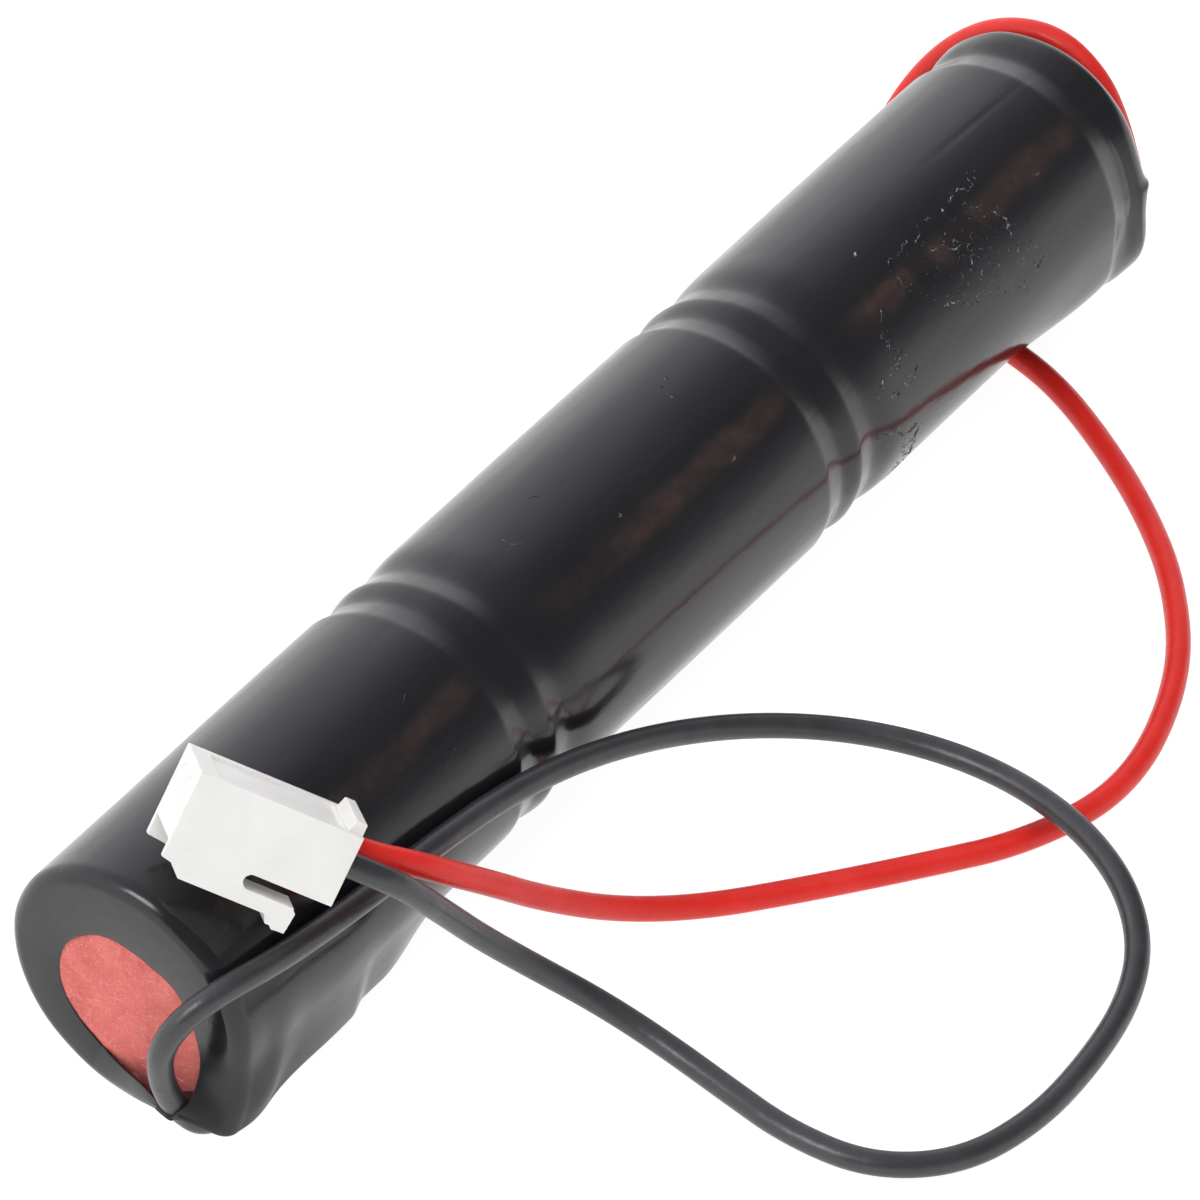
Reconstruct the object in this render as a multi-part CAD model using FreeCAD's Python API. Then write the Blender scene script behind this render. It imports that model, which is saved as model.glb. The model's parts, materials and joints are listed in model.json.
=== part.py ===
import FreeCAD, Part
import math
import os
from FreeCAD import Placement, Rotation, Vector

# Stick battery pack: three round cells in series in one shrink sleeve, with a black and a red
# lead that end in a two-way plug with a sprung latch. Millimetres, +Z up.
#
# Two frames are used. The stick is built along its own axis: x from the negative end, the axis
# at y = 0, z = SLEEVE_RADIUS. It is then tilted and set down, because it lies with its negative
# end on the table and its positive end on its own red lead. The leads and the plug are built
# where they lie, in the final frame, whose origin is the middle of the stick's footprint.

# ---- driving dimensions ----
CELL_COUNT = 3
CELL_PITCH = 61.6
FIRST_BASE = 1.4                # from the sleeve's end to the first cell's base
CAN_RADIUS = 15.95
CAN_WALL = 0.4
CAN_LENGTH = 57.8
CELL_LENGTH = 59.2              # with the positive cap
CAP_RADIUS = 5.0
BEAD_PLACE = 54.4               # middle of the bead, from the cell's base
BEAD_BELOW = 2.9                # how far the bead reaches towards the base
BEAD_ABOVE = 2.1                # and towards the cap
BEAD_DEPTH = 1.3
CRIMP_INSET = 0.15              # the crimped top is this much slimmer than the can
CRIMP_RADIUS = 13.4             # of the mouth that the crimp leaves

SLEEVE_RADIUS = 16.4
SLEEVE_WALL = 0.4
SLEEVE_LENGTH = 184.8
RIM_RADIUS = 1.5
GROOVE_DEPTH = 0.6
OPENING_RADIUS = 9.3            # the hole that the shrunk end leaves
OPENING_DROP = 1.8              # its middle lies below the axis
OPENING_TIP = (-6.6, 1.9)       # y, z of its pointed end

LEAD_RADIUS = 1.5
CONDUCTOR_RADIUS = 0.75
NEAR_TAIL_ANGLE = 227.0         # where the black lead lies under the sleeve, from +y
NEAR_TAIL_LENGTH = 30.0
NEAR_BARE_LENGTH = 7.0           # of it, at its inner end
NEAR_SOLDER_WIDTH = 2.6
FAR_TAIL_ANGLE = 245.0
FAR_TAIL_LENGTH = 12.0
FAR_SOLDER_WIDTH = 1.7
SOLDER_LENGTH = 5.0
STRIP_THICK = 0.2
STRIP_WIDTH = 8.0               # between the cells
END_STRIP_WIDTH = 3.0
END_STRIP_GAP = 0.02            # between the can and the strip along it
END_STRIP_REACH = 6.0           # how far past the axis its welded end lies
TAIL_GAP = 0.03                 # between the strip along the can and the tail on it
TAIL_ROOM = 0.2                 # round a lead or a strip under the sleeve
PAPER_THICK = 0.35

PROP_PLACE = 167.0              # where the red lead passes under the stick
PROP_HEIGHT = 2 * LEAD_RADIUS + 0.3
TILT = math.asin(PROP_HEIGHT / PROP_PLACE)

PLUG_LENGTH = 19.7
PLUG_HEIGHT = 8.45
PLUG_WIDTH = 11.0
CAVITY_RADIUS = 1.95
CAVITY_PITCH = 5.0
CAVITY_HEIGHT = 4.8             # of the cavities' middles, from the latch side
LEAD_LEAN = {"black": -0.35, "red": 0.4}    # where each lead lies in its roomy cavity
PLUG_CORNER = Vector(-91.7, -6.4, 42.4)         # where mating face, latch side and near side meet
PLUG_ALONG = Vector(0.487, -0.747, -0.452)      # from the mating face to the wires
PLUG_UP = Vector(0.604, -0.086, 0.792)          # from the latch side to the top
LATCH_PIVOT = (9.6, -2.65)      # along, up
LATCH_THICK = 1.8
LATCH_END = 16.0
LATCH_WIDTH = 4.6
LATCH_GAP = 0.12
BARB_HEIGHT = 1.0
BARB_LENGTH = 2.9

AXIS_X = Vector(1, 0, 0)
AXIS_POINT = Vector(0, 0, SLEEVE_RADIUS)

# ---- the leads' routes, in the final frame ----
# Each begins after a straight run out of the sleeve and ends before one into the plug.
BLACK_ROUTE = [
    (-95.4, -9.3, 6.8), (-97.6, -9.0, 12.8), (-98.8, -10.1, 18.8),
    (-97.6, -12.2, 23.4), (-93.4, -14.8, 26.2), (-86.0, -16.3, 25.7), (-77.6, -16.7, 24.6),
    (-67.6, -17.0, 23.6), (-57.4, -17.4, 22.9), (-46.8, -17.8, 21.7), (-36.4, -18.4, 19.2),
    (-26.8, -19.7, 16.3), (-17.9, -21.7, 13.1), (-10.0, -25.1, 10.4), (-3.8, -30.2, 8.7),
    (0.4, -36.4, 7.9), (3.0, -43.7, 7.6), (3.9, -51.6, 7.6), (3.1, -59.6, 7.6),
    (0.8, -67.5, 7.4), (-2.6, -74.4, 6.0), (-6.9, -79.2, 3.1), (-14.0, -82.2, 1.5),
    (-24.0, -84.0, 1.5), (-35.8, -84.4, 1.5), (-46.6, -81.4, 1.5), (-53.2, -73.6, 1.5),
    (-54.1, -63.2, 1.5), (-52.3, -53.3, 1.5), (-51.2, -43.8, 2.4), (-52.6, -36.0, 5.4),
    (-56.9, -30.3, 10.7), (-62.0, -26.8, 17.0), (-67.0, -25.6, 23.6), (-71.2, -25.0, 29.0),
    (-73.8, -23.9, 32.2),
]
RED_ROUTE = [
    (97.4, -7.6, 6.6), (97.5, -8.9, 10.6), (96.9, -10.0, 14.8), (96.0, -9.9, 19.2),
    (95.8, -8.3, 24.4), (95.9, -5.2, 29.9), (95.9, 1.0, 33.6), (95.6, 8.6, 32.0),
    (95.0, 15.0, 27.1), (93.0, 19.6, 20.4), (89.4, 22.0, 13.0), (85.4, 22.2, 7.0),
    (81.6, 18.6, 2.8), (78.6, 12.0, 1.5), (76.9, 3.4, 1.5), (75.8, -6.0, 1.5),
    (73.4, -14.6, 1.5), (68.4, -24.0, 1.5), (60.5, -35.8, 1.5), (50.3, -47.2, 1.5),
    (36.2, -57.1, 1.5), (17.0, -62.6, 1.5), (2.0, -58.4, 1.5), (-9.4, -50.2, 1.5),
    (-20.7, -41.6, 1.5), (-30.6, -34.6, 2.4), (-40.8, -29.9, 7.1), (-50.5, -26.8, 14.4),
    (-58.0, -25.0, 21.3), (-64.1, -23.8, 26.7), (-68.6, -22.0, 30.5),
]
BLACK_START = 4.0               # the free black lead starts this far inside the sleeve
BLACK_EXIT_RUN = 4.9            # and runs straight towards its end before it bends up
RED_EXIT_RUN = 2.8              # the red one starts at the sleeve's far end
LAST_RUN = 3.5                  # of either lead, straight into the plug


# ---- shapes in the stick's own frame ----
def revolved(outline):
    """Spin a closed outline of (x, radius) points about the stick's axis."""
    points = [Vector(x, 0, SLEEVE_RADIUS + radius) for x, radius in outline]
    face = Part.Face(Part.makePolygon(points + points[:1]))
    return face.revolve(AXIS_POINT, AXIS_X, 360)


def disc(x, thickness, radius, hole=0.0):
    """A flat round disc or washer across the axis."""
    shape = Part.makeCylinder(radius, thickness, Vector(x, 0, SLEEVE_RADIUS), AXIS_X)
    if hole:
        shape = shape.cut(Part.makeCylinder(hole, thickness, Vector(x, 0, SLEEVE_RADIUS), AXIS_X))
    return shape


def around(radius, angle):
    """The (y, z) place at a radius from the axis, at an angle from +y."""
    turn = math.radians(angle)
    return radius * math.cos(turn), SLEEVE_RADIUS + radius * math.sin(turn)


def rod(x, length, radius, axis_radius, angle):
    """A round rod along the stick, beside the cells."""
    y, z = around(axis_radius, angle)
    return Part.makeCylinder(radius, length, Vector(x, y, z), AXIS_X)


def slab(x, length, low, high, width, angle):
    """A block along the stick between two radii, facing out at an angle."""
    block = Part.makeBox(length, width, high - low, Vector(x, -width / 2, SLEEVE_RADIUS + low))
    block.rotate(AXIS_POINT, AXIS_X, angle - 90)
    return block


# ---- one cell ----
def can_outline(inset):
    """Half section of the can's outside, or of its inside when inset is the wall."""
    radius = CAN_RADIUS - inset
    bead = radius - BEAD_DEPTH
    return [
        (inset, 0), (inset, radius - 2.0), (inset + 0.6, radius - 0.6), (inset + 2.0, radius),
        (BEAD_PLACE - BEAD_BELOW - inset / 2, radius), (BEAD_PLACE - 0.5, bead),
        (BEAD_PLACE + 0.5, bead), (BEAD_PLACE + BEAD_ABOVE - inset / 2, radius - CRIMP_INSET),
    ]


def make_can(base):
    """A drawn steel can, beaded under the cover and crimped over its edge."""
    top = CAN_RADIUS - CRIMP_INSET
    crimp = [
        (CAN_LENGTH - 0.6, top), (CAN_LENGTH, top - 0.6), (CAN_LENGTH, CRIMP_RADIUS),
        (CAN_LENGTH - CAN_WALL, CRIMP_RADIUS), (CAN_LENGTH - CAN_WALL, top - 0.7),
        (CAN_LENGTH - 0.8, top - CAN_WALL),
    ]
    outline = can_outline(0) + crimp + can_outline(CAN_WALL)[::-1]
    return revolved([(base + x, radius) for x, radius in outline])


def make_cap(base):
    """The cover plate and the raised positive cap, pressed from one sheet."""
    plate = CAN_LENGTH - 1.1
    top = CELL_LENGTH
    outline = [
        (plate - 0.4, 0.6), (plate - 0.4, 14.0), (plate, 14.0), (plate, CAP_RADIUS + 0.4),
        (top - 0.3, CAP_RADIUS), (top, CAP_RADIUS - 0.3), (top, 0), (top - 0.3, 0),
        (top - 0.3, CAP_RADIUS - 0.5), (plate, CAP_RADIUS - 0.1), (plate, 0.6),
    ]
    return revolved([(base + x, radius) for x, radius in outline])


def make_gasket(base):
    """The sealing ring that the crimp presses round the cover's edge."""
    low = BEAD_PLACE + 1.4
    high = CAN_LENGTH - CAN_WALL - 0.02
    plate = CAN_LENGTH - 1.1
    outline = [
        (low, 13.2), (low, 14.4), (plate, 15.0), (high - 0.1, 15.0), (high, 14.8), (high, 13.6),
        (plate + 0.02, 13.6), (plate + 0.02, 14.02), (plate - 0.42, 14.02), (plate - 0.42, 13.2),
    ]
    return revolved([(base + x, radius) for x, radius in outline])


def make_valve(base):
    """The rubber vent plug under the cap, over the cover's hole."""
    return disc(base + CAN_LENGTH - 1.08, 1.9, 3.2)


def make_roll(base):
    """The wound electrodes and separator, as one hollow roll."""
    length = BEAD_PLACE - BEAD_BELOW - 4.2
    return disc(base + 2.5, length, CAN_RADIUS - CAN_WALL - 0.15, 1.7)


def make_base_insulator(base):
    return disc(base + CAN_WALL + 0.1, 0.6, CAN_RADIUS - CAN_WALL - 2.1)


def make_collector(base):
    """The disc on top of the roll, with the tab that rises to the cover."""
    plate = base + BEAD_PLACE - BEAD_BELOW - 1.2
    tab = Part.makeBox(3.0, 0.4, 5.0, Vector(plate + 0.4, 8.0, SLEEVE_RADIUS - 2.5))
    return disc(plate, 0.4, 12.5, 1.7).fuse(tab).removeSplitter()


def make_cap_ring(base):
    """The paper ring round the cap, over the crimp."""
    return disc(base + CAN_LENGTH + 0.1, PAPER_THICK, CAN_RADIUS - 1.0, CAP_RADIUS + 0.6)


# ---- between the cells and at the ends ----
def make_link(gap_start):
    """A nickel strip from one cap, bent over the insulator, to the next cell's base."""
    gap = CELL_PITCH - CELL_LENGTH
    reach = 12.0
    first = Part.makeBox(STRIP_THICK, STRIP_WIDTH, reach, Vector(gap_start, -STRIP_WIDTH / 2, 0))
    second = first.copy()
    second.translate(Vector(gap - STRIP_THICK, 0, 0))
    bend = Part.makeBox(gap, STRIP_WIDTH, STRIP_THICK, Vector(gap_start, -STRIP_WIDTH / 2, reach))
    link = first.fuse(second).fuse(bend).removeSplitter()
    link.translate(Vector(0, 0, SLEEVE_RADIUS - 3.0))
    return link


def make_link_insulator(gap_start):
    """The card disc between the two leaves of a link strip, cut flat beside the bend."""
    gap = CELL_PITCH - CELL_LENGTH - 2 * STRIP_THICK - 0.2
    card = disc(gap_start + STRIP_THICK + 0.1, gap, CAN_RADIUS - 0.7)
    notch = Part.makeBox(gap, STRIP_WIDTH + 1, 12, Vector(gap_start + STRIP_THICK + 0.1,
                         -STRIP_WIDTH / 2 - 0.5, SLEEVE_RADIUS + 8.8))
    return card.cut(notch)


def make_end_strip(face, outward, angle, length):
    """A nickel strip welded on a cell's end and bent along its side under the sleeve."""
    low = CAN_RADIUS + END_STRIP_GAP
    high = low + STRIP_THICK
    start = min(face, face + outward * STRIP_THICK)
    flat = slab(start, STRIP_THICK, -END_STRIP_REACH, high, END_STRIP_WIDTH, angle)
    side_start = face - length if outward > 0 else face
    side = slab(side_start, length, low, high, END_STRIP_WIDTH, angle)
    return flat.fuse(side).removeSplitter()


# ---- sleeve ----
def sleeve_outline(inset):
    """Half section of the sleeve's outside, or of its inside when inset is the wall."""
    radius = SLEEVE_RADIUS - inset
    points = [(inset, 0), (inset, radius - RIM_RADIUS + inset)]
    points += rim_points(RIM_RADIUS, -1, inset)
    for cell in range(1, CELL_COUNT + 1):
        base = FIRST_BASE + cell * CELL_PITCH
        points += [(base - 10.1, radius), (base - 7.9, radius - GROOVE_DEPTH),
                   (base - 6.6, radius - GROOVE_DEPTH), (base - 5.0, radius - 0.05)]
        if cell < CELL_COUNT:
            points += [(base - 3.4, radius - 0.05), (base - 1.6, radius - 0.5),
                       (base + 0.2, radius - 0.5), (base + 1.9, radius)]
    points += rim_points(SLEEVE_LENGTH - RIM_RADIUS, 1, inset)
    points += [(SLEEVE_LENGTH - inset, radius - RIM_RADIUS + inset), (SLEEVE_LENGTH - inset, 0)]
    return points


def rim_points(centre, side, inset):
    """Two points that round the sleeve's rim at one end."""
    bend = RIM_RADIUS - inset
    middle = SLEEVE_RADIUS - RIM_RADIUS
    diagonal = bend * math.sqrt(0.5)
    points = [(centre + side * diagonal, middle + diagonal), (centre, middle + bend)]
    return points if side < 0 else points[::-1]


def make_opening(x):
    """The leaf-shaped hole through an end of the sleeve, as a thick tool."""
    tool = Part.makeCylinder(OPENING_RADIUS, 4, Vector(x, 0, SLEEVE_RADIUS - OPENING_DROP), AXIS_X)
    middle = Vector(x, 0, SLEEVE_RADIUS - OPENING_DROP)
    tip = Vector(x, *OPENING_TIP)
    reach = (tip - middle).Length
    spread = math.acos(OPENING_RADIUS / reach)
    heading = math.atan2(tip.z - middle.z, tip.y - middle.y)
    sides = []
    for turn in (heading - spread, heading + spread):
        sides.append(middle + Vector(0, math.cos(turn), math.sin(turn)) * OPENING_RADIUS)
    wedge = Part.Face(Part.makePolygon([tip, sides[0], middle, sides[1], tip]))
    return tool.fuse(wedge.extrude(AXIS_X * 4))


def tail_distance(radius):
    """From the stick's axis to the middle of a tail that lies on its end strip."""
    return CAN_RADIUS + END_STRIP_GAP + STRIP_THICK + TAIL_GAP + radius


def tunnel(start, length, tail_radius, angle, wall):
    """The room under the sleeve for a tail and its strip; with a wall, the skin round it."""
    distance = tail_distance(tail_radius)
    room = rod(start, length, tail_radius + TAIL_ROOM + wall, distance, angle)
    low = CAN_RADIUS - RIM_RADIUS
    width = END_STRIP_WIDTH + 2 * (TAIL_ROOM + wall)
    return room.fuse(slab(start, length, low, distance + wall, width, angle))


def make_sleeve():
    far_start = SLEEVE_LENGTH - FAR_TAIL_LENGTH - 1.0
    outside = revolved(sleeve_outline(0))
    inside = revolved(sleeve_outline(SLEEVE_WALL))
    near = (NEAR_TAIL_LENGTH + 2.0, LEAD_RADIUS, NEAR_TAIL_ANGLE)
    far = (FAR_TAIL_LENGTH + 1.0, CONDUCTOR_RADIUS, FAR_TAIL_ANGLE)
    outside = outside.fuse(tunnel(0, *near, SLEEVE_WALL))
    outside = outside.fuse(tunnel(far_start, *far, SLEEVE_WALL))
    # both rooms stop a wall short of the blister's blind end and run out past its open one
    inside = inside.fuse(tunnel(-SLEEVE_WALL, *near, 0))
    inside = inside.fuse(tunnel(far_start + SLEEVE_WALL, *far, 0))
    shape = outside.cut(inside)
    return shape.cut(make_opening(-1.0)).cut(make_opening(SLEEVE_LENGTH - 3.0))


# ---- leads under the sleeve ----
def make_solder(start, tail_radius, width, angle):
    """Solder between an end strip and the bared conductor on it."""
    low = CAN_RADIUS + END_STRIP_GAP + STRIP_THICK
    return slab(start, SOLDER_LENGTH, low, tail_distance(tail_radius), width, angle)


def near_tail_parts():
    """The black lead's last stretch, its bared conductor and the solder on the end strip."""
    distance = tail_distance(LEAD_RADIUS)
    start = NEAR_TAIL_LENGTH - NEAR_BARE_LENGTH
    insulation = rod(BLACK_START, start - BLACK_START, LEAD_RADIUS, distance, NEAR_TAIL_ANGLE)
    conductor = rod(start, NEAR_BARE_LENGTH, CONDUCTOR_RADIUS, distance, NEAR_TAIL_ANGLE)
    solder = make_solder(start + 1, LEAD_RADIUS, NEAR_SOLDER_WIDTH, NEAR_TAIL_ANGLE)
    return insulation, conductor, solder.cut(conductor)


def far_tail_parts():
    """The red lead's bared conductor and the solder on the far end strip."""
    distance = tail_distance(CONDUCTOR_RADIUS)
    start = SLEEVE_LENGTH - FAR_TAIL_LENGTH
    conductor = rod(start, FAR_TAIL_LENGTH, CONDUCTOR_RADIUS, distance, FAR_TAIL_ANGLE)
    solder = make_solder(start + 1.5, CONDUCTOR_RADIUS, FAR_SOLDER_WIDTH, FAR_TAIL_ANGLE)
    return conductor, solder.cut(conductor)


# ---- plug, in its own frame: x along, y across from the near side, z up from the latch side ----
def plug_box(along, across, up):
    """A block between three (low, high) pairs."""
    size = [high - low for low, high in (along, across, up)]
    return Part.makeBox(*size, Vector(along[0], across[0], up[0]))


def plug_prism(outline, across):
    """An (along, up) outline carried across the plug."""
    points = [Vector(x, across[0], z) for x, z in outline]
    face = Part.Face(Part.makePolygon(points + points[:1]))
    return face.extrude(Vector(0, across[1] - across[0], 0))


def cavity_places():
    middle = PLUG_WIDTH / 2
    return {"black": middle - CAVITY_PITCH / 2, "red": middle + CAVITY_PITCH / 2}


def plug_rod(start, end, radius, across, up=CAVITY_HEIGHT):
    return Part.makeCylinder(radius, end - start, Vector(start, across, up), AXIS_X)


def pivot_rod(radius):
    return Part.makeCylinder(radius, LATCH_WIDTH, Vector(LATCH_PIVOT[0], 0, LATCH_PIVOT[1]),
                             Vector(0, 1, 0))


def make_plug_housing():
    top = PLUG_HEIGHT
    pivot, middle = LATCH_PIVOT
    low = middle - LATCH_THICK / 2
    shell = plug_box((0, PLUG_LENGTH), (0, PLUG_WIDTH), (0, top))
    skirt = plug_prism([(0, 1), (0, -2.6), (2.6, -2.9), (2.6, 1)], (PLUG_WIDTH - 2.2, PLUG_WIDTH))
    lip = plug_prism([(PLUG_LENGTH - 1.9, top - 0.5), (PLUG_LENGTH - 1.3, top + 1.3),
                      (PLUG_LENGTH, top + 1.3), (PLUG_LENGTH, top - 0.5)], (1.0, PLUG_WIDTH - 1.0))
    root = plug_prism([(0, 1), (0, -1.9), (1.4, -2.2), (2.7, low), (pivot, low), (pivot, 1)],
                      (0, LATCH_WIDTH))
    slot = plug_box((pivot - 0.4, PLUG_LENGTH), (0, LATCH_WIDTH), (middle + LATCH_THICK / 2, 0))
    shape = shell.fuse(skirt).fuse(lip).fuse(root).cut(slot)
    shape = shape.cut(pivot_rod(LATCH_THICK / 2 + LATCH_GAP))
    for across in cavity_places().values():
        shape = shape.cut(plug_rod(0, PLUG_LENGTH, CAVITY_RADIUS, across))
    return shape.removeSplitter()


def make_plug_latch():
    """The sprung arm: a round root, a flat arm and a barb that faces away from the housing."""
    pivot, middle = LATCH_PIVOT
    low, high = middle - LATCH_THICK / 2, middle + LATCH_THICK / 2
    arm = plug_box((pivot, LATCH_END), (0, LATCH_WIDTH), (low, high))
    start = LATCH_END - BARB_LENGTH
    barb = plug_prism([(start, low + 0.2), (start + 0.6, low - BARB_HEIGHT),
                       (LATCH_END - 1.0, low - BARB_HEIGHT), (LATCH_END, low + 0.2)],
                      (0, LATCH_WIDTH))
    return pivot_rod(LATCH_THICK / 2).fuse(arm).fuse(barb).removeSplitter()


def make_terminal(across):
    """A crimped socket contact: sprung tube, waist and crimp barrel."""
    contact = plug_rod(1.2, 8.0, 1.35, across).cut(plug_rod(1.2, 7.0, 0.95, across))
    waist = plug_rod(8.0, 9.4, 0.9, across)
    crimp = plug_rod(9.4, 14.0, 1.4, across).cut(plug_rod(10.0, 14.0, CONDUCTOR_RADIUS, across))
    return contact.fuse(waist).fuse(crimp).removeSplitter()


def make_plug_tail(across, up):
    """The insulated end of a lead inside the housing."""
    return plug_rod(14.4, PLUG_LENGTH, LEAD_RADIUS, across, up)


def make_plug_conductor(across):
    return plug_rod(10.1, 14.4, CONDUCTOR_RADIUS - 0.02, across)


# ---- the free leads, in the final frame ----
def rounded_path(points):
    """Straight runs joined by tangent arcs; returns the wire and the arcs' radii."""
    edges = []
    radii = []
    start = points[0]
    for before, corner, after in zip(points, points[1:], points[2:]):
        back = before - corner
        ahead = after - corner
        turn = math.pi - back.getAngle(ahead)
        reach = 0.45 * min(back.Length, ahead.Length)
        radius = reach / math.tan(turn / 2)
        back.normalize()
        ahead.normalize()
        arc_start = corner + back * reach
        arc_end = corner + ahead * reach
        inward = (back + ahead).normalize()
        middle = corner + inward * (radius / math.cos(turn / 2) - radius)
        edges.append(Part.LineSegment(start, arc_start).toShape())
        edges.append(Part.Arc(arc_start, middle, arc_end).toShape())
        radii.append(radius)
        start = arc_end
    edges.append(Part.LineSegment(start, points[-1]).toShape())
    return Part.Wire(edges), radii


def make_lead(name, points):
    """A round tube along a route."""
    path, radii = rounded_path(points)
    profile = Part.Wire(Part.makeCircle(LEAD_RADIUS, points[0], points[1] - points[0]))
    tube = path.makePipeShell([profile], True, True)
    section = math.pi * LEAD_RADIUS ** 2
    lowest = min(vertex.z for vertex in tube.tessellate(0.01)[0])
    print(name, "length", round(path.Length, 1), "lowest", round(lowest, 3),
          "volume ratio", round(tube.Volume / (section * path.Length), 4))
    print("   radii", [round(radius, 1) for radius in radii])
    return tube


# ---- placing ----
def set_down():
    """Tilt the stick about its negative end's lower rim and centre its footprint."""
    turn = Rotation(Vector(0, 1, 0), -math.degrees(TILT))
    lean = 2 * SLEEVE_RADIUS - RIM_RADIUS
    far_edge = SLEEVE_LENGTH * math.cos(TILT) - RIM_RADIUS * math.sin(TILT)
    middle = (far_edge - lean * math.sin(TILT)) / 2
    lift = RIM_RADIUS * (1 - math.sin(TILT) - math.cos(TILT))
    return Placement(Vector(-middle, 0, lift), turn)


def plug_place():
    across = PLUG_UP.cross(PLUG_ALONG)
    turn = Rotation(PLUG_ALONG, across, PLUG_UP, "XZY")
    return Placement(PLUG_CORNER, turn)


def save(node, shape, place=None):
    if place:
        shape = shape.copy()
        shape.Placement = place.multiply(shape.Placement)
    if not shape.isValid() or shape.Volume <= 0:
        print("bad solid:", node)
    box = shape.BoundBox
    print(f"{node:24s} solids {len(shape.Solids)}  volume {shape.Volume:9.1f}  "
          f"x {box.XMin:7.2f} {box.XMax:7.2f}  y {box.YMin:7.2f} {box.YMax:7.2f}  "
          f"z {box.ZMin:6.2f} {box.ZMax:6.2f}")
    shape.exportStep("parts/" + node + ".step")


def save_cells(place):
    pieces = {
        "can": make_can, "cap": make_cap, "gasket": make_gasket, "valve": make_valve,
        "roll": make_roll, "insulator": make_base_insulator, "collector": make_collector,
        "cap_ring": make_cap_ring,
    }
    for cell in range(CELL_COUNT):
        base = FIRST_BASE + cell * CELL_PITCH
        for piece, make in pieces.items():
            save(f"cell_{cell + 1}_{piece}", make(base), place)
        if cell < CELL_COUNT - 1:
            save(f"link_{cell + 1}_strip", make_link(base + CELL_LENGTH), place)
            save(f"link_{cell + 1}_insulator", make_link_insulator(base + CELL_LENGTH), place)


def save_ends(place):
    last_face = FIRST_BASE + (CELL_COUNT - 1) * CELL_PITCH + CELL_LENGTH
    near_strip = make_end_strip(FIRST_BASE - 0.02, -1, NEAR_TAIL_ANGLE, NEAR_TAIL_LENGTH)
    far_strip = make_end_strip(last_face + 0.02, 1, FAR_TAIL_ANGLE, FAR_TAIL_LENGTH - 1)
    save("near_end_strip", near_strip, place)
    save("far_end_strip", far_strip, place)
    paper = CAN_RADIUS - 1.2
    save("near_end_paper", disc(SLEEVE_WALL + 0.15, PAPER_THICK, paper), place)
    save("far_end_paper", disc(SLEEVE_LENGTH - SLEEVE_WALL - 0.05 - PAPER_THICK / 2,
                               PAPER_THICK / 2, paper), place)
    for node, shape in zip(("black_tail", "black_conductor", "black_solder"), near_tail_parts()):
        save(node, shape, place)
    for node, shape in zip(("red_conductor", "red_solder"), far_tail_parts()):
        save(node, shape, place)


def save_plug(place):
    save("plug_housing", make_plug_housing(), place)
    save("plug_latch", make_plug_latch(), place)
    for colour, across in cavity_places().items():
        save(f"plug_terminal_{colour}", make_terminal(across), place)
        save(f"plug_tail_{colour}", make_plug_tail(across, CAVITY_HEIGHT + LEAD_LEAN[colour]), place)
        save(f"plug_conductor_{colour}", make_plug_conductor(across), place)


def save_lead(colour, route, exits, exit_place):
    """A free lead: from the sleeve's end along its route, then straight into its cavity."""
    across = cavity_places()[colour]
    up = CAVITY_HEIGHT + LEAD_LEAN[colour]
    plug = plug_place()
    points = [set_down().multVec(Vector(x, *exit_place)) for x in exits]
    points += [Vector(*place) for place in route]
    points += [plug.multVec(Vector(PLUG_LENGTH + LAST_RUN, across, up))]
    points += [plug.multVec(Vector(PLUG_LENGTH, across, up))]
    for point in points[:2] + points[-2:]:
        print("   end point", tuple(round(value, 2) for value in point))
    save(f"lead_{colour}", make_lead(f"lead_{colour}", points))


def main():
    os.makedirs("parts", exist_ok=True)
    stick = set_down()
    save("sleeve", make_sleeve(), stick)
    save_cells(stick)
    save_ends(stick)
    save_plug(plug_place())
    black_place = around(tail_distance(LEAD_RADIUS), NEAR_TAIL_ANGLE)
    red_place = around(tail_distance(CONDUCTOR_RADIUS), FAR_TAIL_ANGLE)
    save_lead("black", BLACK_ROUTE, (BLACK_START, BLACK_START - BLACK_EXIT_RUN), black_place)
    save_lead("red", RED_ROUTE, (SLEEVE_LENGTH, SLEEVE_LENGTH + RED_EXIT_RUN), red_place)


main()
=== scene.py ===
import json
import math

import bmesh
import bpy
import numpy as np
from mathutils import Matrix, Vector


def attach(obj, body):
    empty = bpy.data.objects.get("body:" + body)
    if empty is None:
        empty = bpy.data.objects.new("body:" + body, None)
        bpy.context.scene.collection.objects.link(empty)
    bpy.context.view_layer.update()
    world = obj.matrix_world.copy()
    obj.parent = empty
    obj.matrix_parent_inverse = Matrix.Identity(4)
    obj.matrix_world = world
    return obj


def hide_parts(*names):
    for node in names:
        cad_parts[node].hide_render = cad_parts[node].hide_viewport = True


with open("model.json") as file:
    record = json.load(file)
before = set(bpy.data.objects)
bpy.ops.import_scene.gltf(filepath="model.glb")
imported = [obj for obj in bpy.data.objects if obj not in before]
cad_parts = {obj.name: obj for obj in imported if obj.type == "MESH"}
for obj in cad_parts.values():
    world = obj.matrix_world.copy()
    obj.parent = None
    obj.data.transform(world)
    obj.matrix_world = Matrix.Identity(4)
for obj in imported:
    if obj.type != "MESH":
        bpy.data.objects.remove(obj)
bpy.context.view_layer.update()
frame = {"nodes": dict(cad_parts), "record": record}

# Lengths are in millimetres and become metres through MM. The stick has its own frame: x along it
# from the negative end, its axis at y = 0, z = SLEEVE_RADIUS. Angles round it are in degrees from +y.
MM = 0.001
SLEEVE_RADIUS = 16.4
SLEEVE_LENGTH = 184.8
SLEEVE_WALL = 0.4
RIM_RADIUS = 1.5
CELL_PITCH = 61.6
FIRST_BASE = 1.4
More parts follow.
